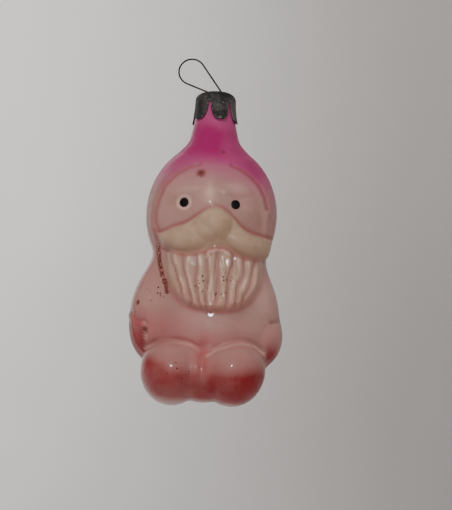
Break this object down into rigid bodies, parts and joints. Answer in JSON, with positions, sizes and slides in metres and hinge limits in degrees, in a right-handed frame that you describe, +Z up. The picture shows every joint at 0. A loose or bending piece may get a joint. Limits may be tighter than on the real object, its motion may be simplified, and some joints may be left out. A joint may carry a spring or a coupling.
{
  "type": "glass christmas ornament",
  "caption": "Hollow blown-glass hanging ornament of a seated, bearded gnome, with a petal cap and a sprung wire hanger loop.",
  "frame": {"origin": "the point inside the top of the hanger's loop that rests on a hook", "axes": "+Z up along the figure, +X to the viewer's right, the figure faces -Y"},
  "size_m": [0.0387, 0.0282, 0.0893],
  "materials": {
    "lacquered_glass": "glossy lacquer over silvered glass, pink hood, cream beard, red knees",
    "eye_enamel": "glossy black enamel",
    "cap_tinplate": "tarnished, nearly black",
    "hanger_steel": "blackened spring wire"
  },
  "bodies": {
    "hanger": {"hanger_wire": "hanger_steel"},
    "cap": {"cap": "cap_tinplate"},
    "glass": {"glass_body": "lacquered_glass", "eye_dot_left": "eye_enamel", "eye_dot_right": "eye_enamel"}
  },
  "joints": [
    {"name": "hanger_rock", "type": "hinge", "parent": "hanger", "child": "cap", "pos_m": [0.00639, 0, -0.00936], "axis": [1, 0, 0], "range_deg": [-15, 15]},
    {"name": "cap_pull", "type": "slide", "parent": "cap", "child": "glass", "axis": [0, 0, -1], "range_m": [0, 0.03]}
  ]
}
